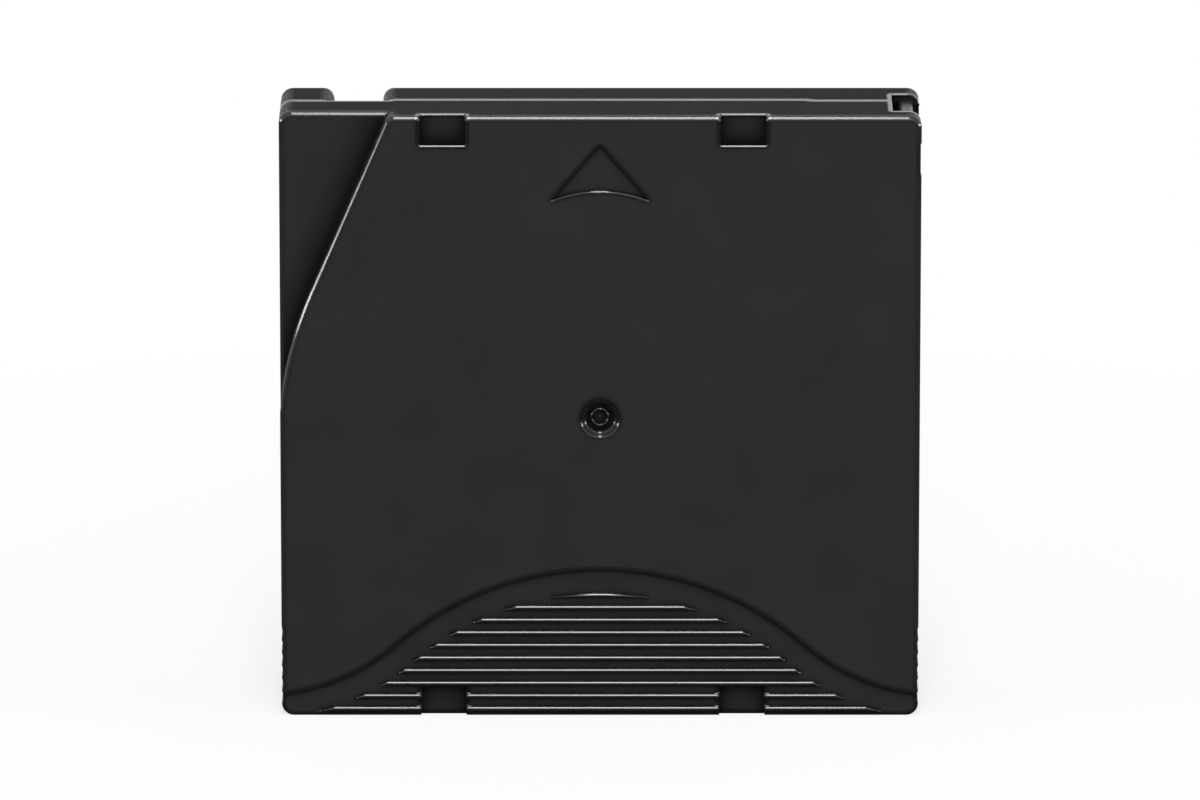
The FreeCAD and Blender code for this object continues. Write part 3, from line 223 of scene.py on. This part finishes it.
def patterned(material, shader, pattern, tint, first, second, rough, relief, metallic=0.0):
    """Roughness and relief that follow the pattern, and two colours that follow the tint."""
    join(material, blend(material, tint, first, second), shader.inputs["Base Color"])
    join(material, span(material, pattern, (0.3, 0.7), rough), shader.inputs["Roughness"])
    join(material, bump(material, pattern, relief), shader.inputs["Normal"])
    shader.inputs["Metallic"].default_value = metallic


screw_steel, shader = new_material("screw_steel")
speckle = noise(screw_steel, 0.6, 4.0)
patterned(screw_steel, shader, speckle, span(screw_steel, speckle, (0.4, 0.7), (0, 1)),
          (0.03, 0.03, 0.032), (0.07, 0.07, 0.072), rough=(0.3, 0.45), relief=0.004, metallic=0.8)
dress(screw_steel, "case_screws")

# ---------------------------------------------------------------- reel
# The hub with its lower flange and drive teeth, and the upper flange welded to it: glass-filled
# polycarbonate in light grey, with the flow marks of its moulding.

reel_plastic = moulded_plastic(
    "reel_plastic", colour=(0.42, 0.43, 0.44), edge_wear_and_shade=(0.5, 0.5, 0.51),
    rough=0.38, edge_rough=0.3, grain=0.5, grain_depth=0.003)
dress(reel_plastic, "reel_hub", "reel_upper_flange")

# ---------------------------------------------------------------- clutch plate
# A stamped ring of magnetic stainless steel under the hub, turned bright, with fine rings from
# its facing.

REEL_HEIGHT = 51 * MM


def rings_about_reel(material, per_metre, detail):
    """Fine uneven rings about the reel's axis."""
    place = add_node(material, "ShaderNodeTexCoord")
    centred = add_node(material, "ShaderNodeMapping", Location=(0, 0, -REEL_HEIGHT))
    split = add_node(material, "ShaderNodeSeparateXYZ")
    flat = add_node(material, "ShaderNodeCombineXYZ")
    radius = add_node(material, "ShaderNodeVectorMath", operation="LENGTH")
    rings = add_node(material, "ShaderNodeTexNoise", noise_dimensions="1D", Scale=per_metre,
                     Detail=detail)
    join(material, place.outputs["Object"], centred.inputs["Vector"])
    join(material, centred.outputs["Vector"], split.inputs["Vector"])
    join(material, split.outputs["X"], flat.inputs["X"])
    join(material, split.outputs["Z"], flat.inputs["Y"])
    join(material, flat.outputs["Vector"], radius.inputs[0])
    join(material, radius.outputs["Value"], rings.inputs["W"])
    return rings.outputs["Fac"]


steel, shader = new_material("steel")
smear = span(steel, noise(steel, 4.0, 3.0), (0.35, 0.65), (0, 1))
patterned(steel, shader, rings_about_reel(steel, 6000.0, 3.0), smear,
          (0.5, 0.5, 0.5), (0.6, 0.6, 0.61), rough=(0.22, 0.36), relief=0.002, metallic=1.0)
dress(steel, "clutch_plate")

# ---------------------------------------------------------------- tape
# The wound pack and its leader: coated polyester film, brown-black and glossy, whose edges
# show as fine rings.

tape_film, shader = new_material("tape_film")
turns = rings_about_reel(tape_film, 9000.0, 4.0)
patterned(tape_film, shader, turns, span(tape_film, turns, (0.35, 0.65), (0, 1)),
          (0.012, 0.009, 0.008), (0.035, 0.027, 0.022), rough=(0.2, 0.34), relief=0.003)
dress(tape_film, "tape_pack", "leader_tape")

# ---------------------------------------------------------------- brake and release pad
# The toothed brake disc, the three-legged pad that lifts it, and the clip that holds the tape
# on its pin: unfilled acetal, ivory white and slightly waxy.

brake_plastic = moulded_plastic(
    "brake_plastic", colour=(0.72, 0.7, 0.63), edge_wear_and_shade=(0.78, 0.76, 0.7),
    rough=0.35, edge_rough=0.28, grain=0.8, grain_depth=0.002)
dress(brake_plastic, "brake_disc", "release_pad", "tape_clip")

# ---------------------------------------------------------------- leader pin and leaf springs
# The pin is ground from stainless steel, which leaves fine lines round it. The two springs that
# park it in the case are bent from rolled steel strip.

pin_steel, shader = new_material("pin_steel")
lines = noise(pin_steel, 1.0, 3.0, stretch=(1, 0.2, 6))
patterned(pin_steel, shader, lines, lines, (0.5, 0.5, 0.51), (0.62, 0.62, 0.62),
          rough=(0.18, 0.3), relief=0.001, metallic=1.0)
dress(pin_steel, "leader_pin")

spring_steel, shader = new_material("spring_steel")
drawn = noise(spring_steel, 0.4, 3.0)
patterned(spring_steel, shader, drawn, drawn, (0.4, 0.4, 0.41), (0.55, 0.55, 0.56),
          rough=(0.25, 0.4), relief=0.001, metallic=1.0)
dress(spring_steel, "pin_spring_lower", "pin_spring_upper")

# ---------------------------------------------------------------- coil springs
# Two coils of bright spring wire: one presses the brake down from the roof of the case, and one
# pushes the door shut along its channel.

def coil_spring(node, name):
    """A coil's own merged mesh in spring steel, smoothly shaded and carried with the case."""
    coil = bpy.data.objects.new(name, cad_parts[node].data.copy())
    bpy.context.scene.collection.objects.link(coil)
    bpy.ops.object.select_all(action="DESELECT")
    bpy.context.view_layer.objects.active = coil
    coil.select_set(True)
    bpy.ops.object.mode_set(mode="EDIT")
    bpy.ops.mesh.select_all(action="SELECT")
    bpy.ops.mesh.remove_doubles(threshold=0.0005 * MM)
    bpy.ops.object.mode_set(mode="OBJECT")
    bpy.ops.object.shade_smooth_by_angle(angle=math.radians(40))
    coil.data.materials.clear()
    coil.data.materials.append(spring_steel)
    bpy.ops.object.select_all(action="DESELECT")
    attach(coil, "case")
    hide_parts(node)
    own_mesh(coil)


coil_spring("brake_spring", "brake_coil")
coil_spring("door_spring", "door_coil")

# ---------------------------------------------------------------- door and tab
# The sliding door is smooth black acetal. The write protect tab is the one coloured piece:
# red, so that a locked cartridge is seen at once.

door_plastic = moulded_plastic(
    "door_plastic", colour=(0.022, 0.022, 0.023), edge_wear_and_shade=(0.03, 0.03, 0.03),
    rough=0.36, edge_rough=0.24, grain=0.6, grain_depth=0.002, specular=0.4)
dress(door_plastic, "access_door")

tab_plastic = moulded_plastic(
    "tab_plastic", colour=(0.42, 0.03, 0.022), edge_wear_and_shade=(0.5, 0.06, 0.05),
    rough=0.36, edge_rough=0.28, grain=0.6, grain_depth=0.002)
dress(tab_plastic, "write_protect_tab")

# ---------------------------------------------------------------- memory module
# A small board with a chip and a loop of copper in a rear corner of the case. Green lacquer
# covers it, over the weave of its glass cloth.

board, shader = new_material("board")
weave = noise(board, 0.5, 2.0)
patterned(board, shader, weave, weave, (0.02, 0.1, 0.045), (0.03, 0.14, 0.07),
          rough=(0.28, 0.4), relief=0.004)
dress(board, "memory_module")

# ---------------------------------------------------------------- floor and backdrop
# A plain white paper floor that runs on far past the object and keeps its shadow, and a white
# studio round it. Both are bright to look at and in reflections, but cast little light.

FLOOR_SIDE = 6.0
PAPER_NEAR, PAPER_FAR = 0.06, 0.25
PAPER_GLOW = (0.75, 1.0)
STUDIO_LIGHT = (0.2, 1.0)


def looked_at(owner):
    """1 for rays that show the backdrop, straight, mirrored or through glass, else 0."""
    rays = add_node(owner, "ShaderNodeLightPath")
    share = rays.outputs["Is Camera Ray"]
    for more in ("Is Glossy Ray", "Is Transmission Ray"):
        share = combine(owner, "MAXIMUM", share, rays.outputs[more])
    return share


bpy.ops.mesh.primitive_plane_add(size=FLOOR_SIDE, location=(0, 0, 0))
floor = bpy.context.object
floor.name = "floor"
paper, shader = new_material("paper")
fibres = noise(paper, 3.0, 3.0)
join(paper, blend(paper, fibres, (0.86, 0.86, 0.86), (0.9, 0.9, 0.9)), shader.inputs["Base Color"])
shader.inputs["Roughness"].default_value = 0.8
shader.inputs["Specular IOR Level"].default_value = 0.1
spot = add_node(paper, "ShaderNodeTexCoord")
away = add_node(paper, "ShaderNodeVectorMath", operation="LENGTH")
join(paper, spot.outputs["Object"], away.inputs[0])
far = span(paper, away.outputs["Value"], (PAPER_NEAR, PAPER_FAR), PAPER_GLOW)
glow = add_node(paper, "ShaderNodeEmission", Strength=1.0)
lit = add_node(paper, "ShaderNodeMixShader")
join(paper, combine(paper, "MULTIPLY", looked_at(paper), far), lit.inputs[0])
join(paper, shader.outputs[0], lit.inputs[1])
join(paper, glow.outputs[0], lit.inputs[2])
surface = [node for node in paper.node_tree.nodes if node.type == "OUTPUT_MATERIAL"][0]
join(paper, lit.outputs[0], surface.inputs["Surface"])
floor.data.materials.append(paper)

studio = bpy.data.worlds.new("studio")
bpy.context.scene.world = studio
studio.use_nodes = True
sky = studio.node_tree.nodes["Background"]
sky.inputs["Color"].default_value = (1, 1, 1, 1)
join(studio, span(studio, looked_at(studio), (0.0, 1.0), STUDIO_LIGHT), sky.inputs["Strength"])

# ---------------------------------------------------------------- light and camera
# A long strip overhead and a low strip at each side draw the lines along the edges, and a box
# high in front lights the arrow side. The camera has a long lens and looks slightly down.

CASE_MIDDLE = Vector((0, 0, 50 * MM))


def soft_box(name, place, width, height, watts):
    """A rectangular area lamp that faces the middle of the case; place and sizes in metres."""
    bpy.ops.object.light_add(type="AREA", location=place)
    lamp = bpy.context.object
    lamp.name = name
    lamp.data.shape = "RECTANGLE"
    lamp.data.size = width
    lamp.data.size_y = height
    lamp.data.energy = watts
    aim = CASE_MIDDLE - Vector(place)
    lamp.rotation_euler = aim.to_track_quat("-Z", "Y").to_euler()


soft_box("top_strip", (0, -0.6, 1.2), width=0.2, height=1.3, watts=13)
soft_box("left_strip", (-1.2, -0.25, 0.2), width=1.1, height=0.16, watts=12)
soft_box("right_strip", (1.2, -0.25, 0.2), width=1.1, height=0.16, watts=15)
soft_box("front_box", (0.4, -1.8, 1.5), width=0.8, height=0.8, watts=3.5)

DISTANCE = 2.0
ELEVATION = math.radians(14.5)
AIM = Vector((0, -0.6 * MM, 51.3 * MM))
back = Vector((0, -math.cos(ELEVATION), math.sin(ELEVATION)))
bpy.ops.object.camera_add(location=AIM + back * DISTANCE)
camera = bpy.context.object
camera.rotation_euler = (-back).to_track_quat("-Z", "Y").to_euler()
camera.data.sensor_width = 36
camera.data.lens = 362.5
camera.data.clip_start = 0.1
camera.data.clip_end = 20
bpy.context.scene.camera = camera
bpy.context.scene.view_settings.view_transform = "Standard"
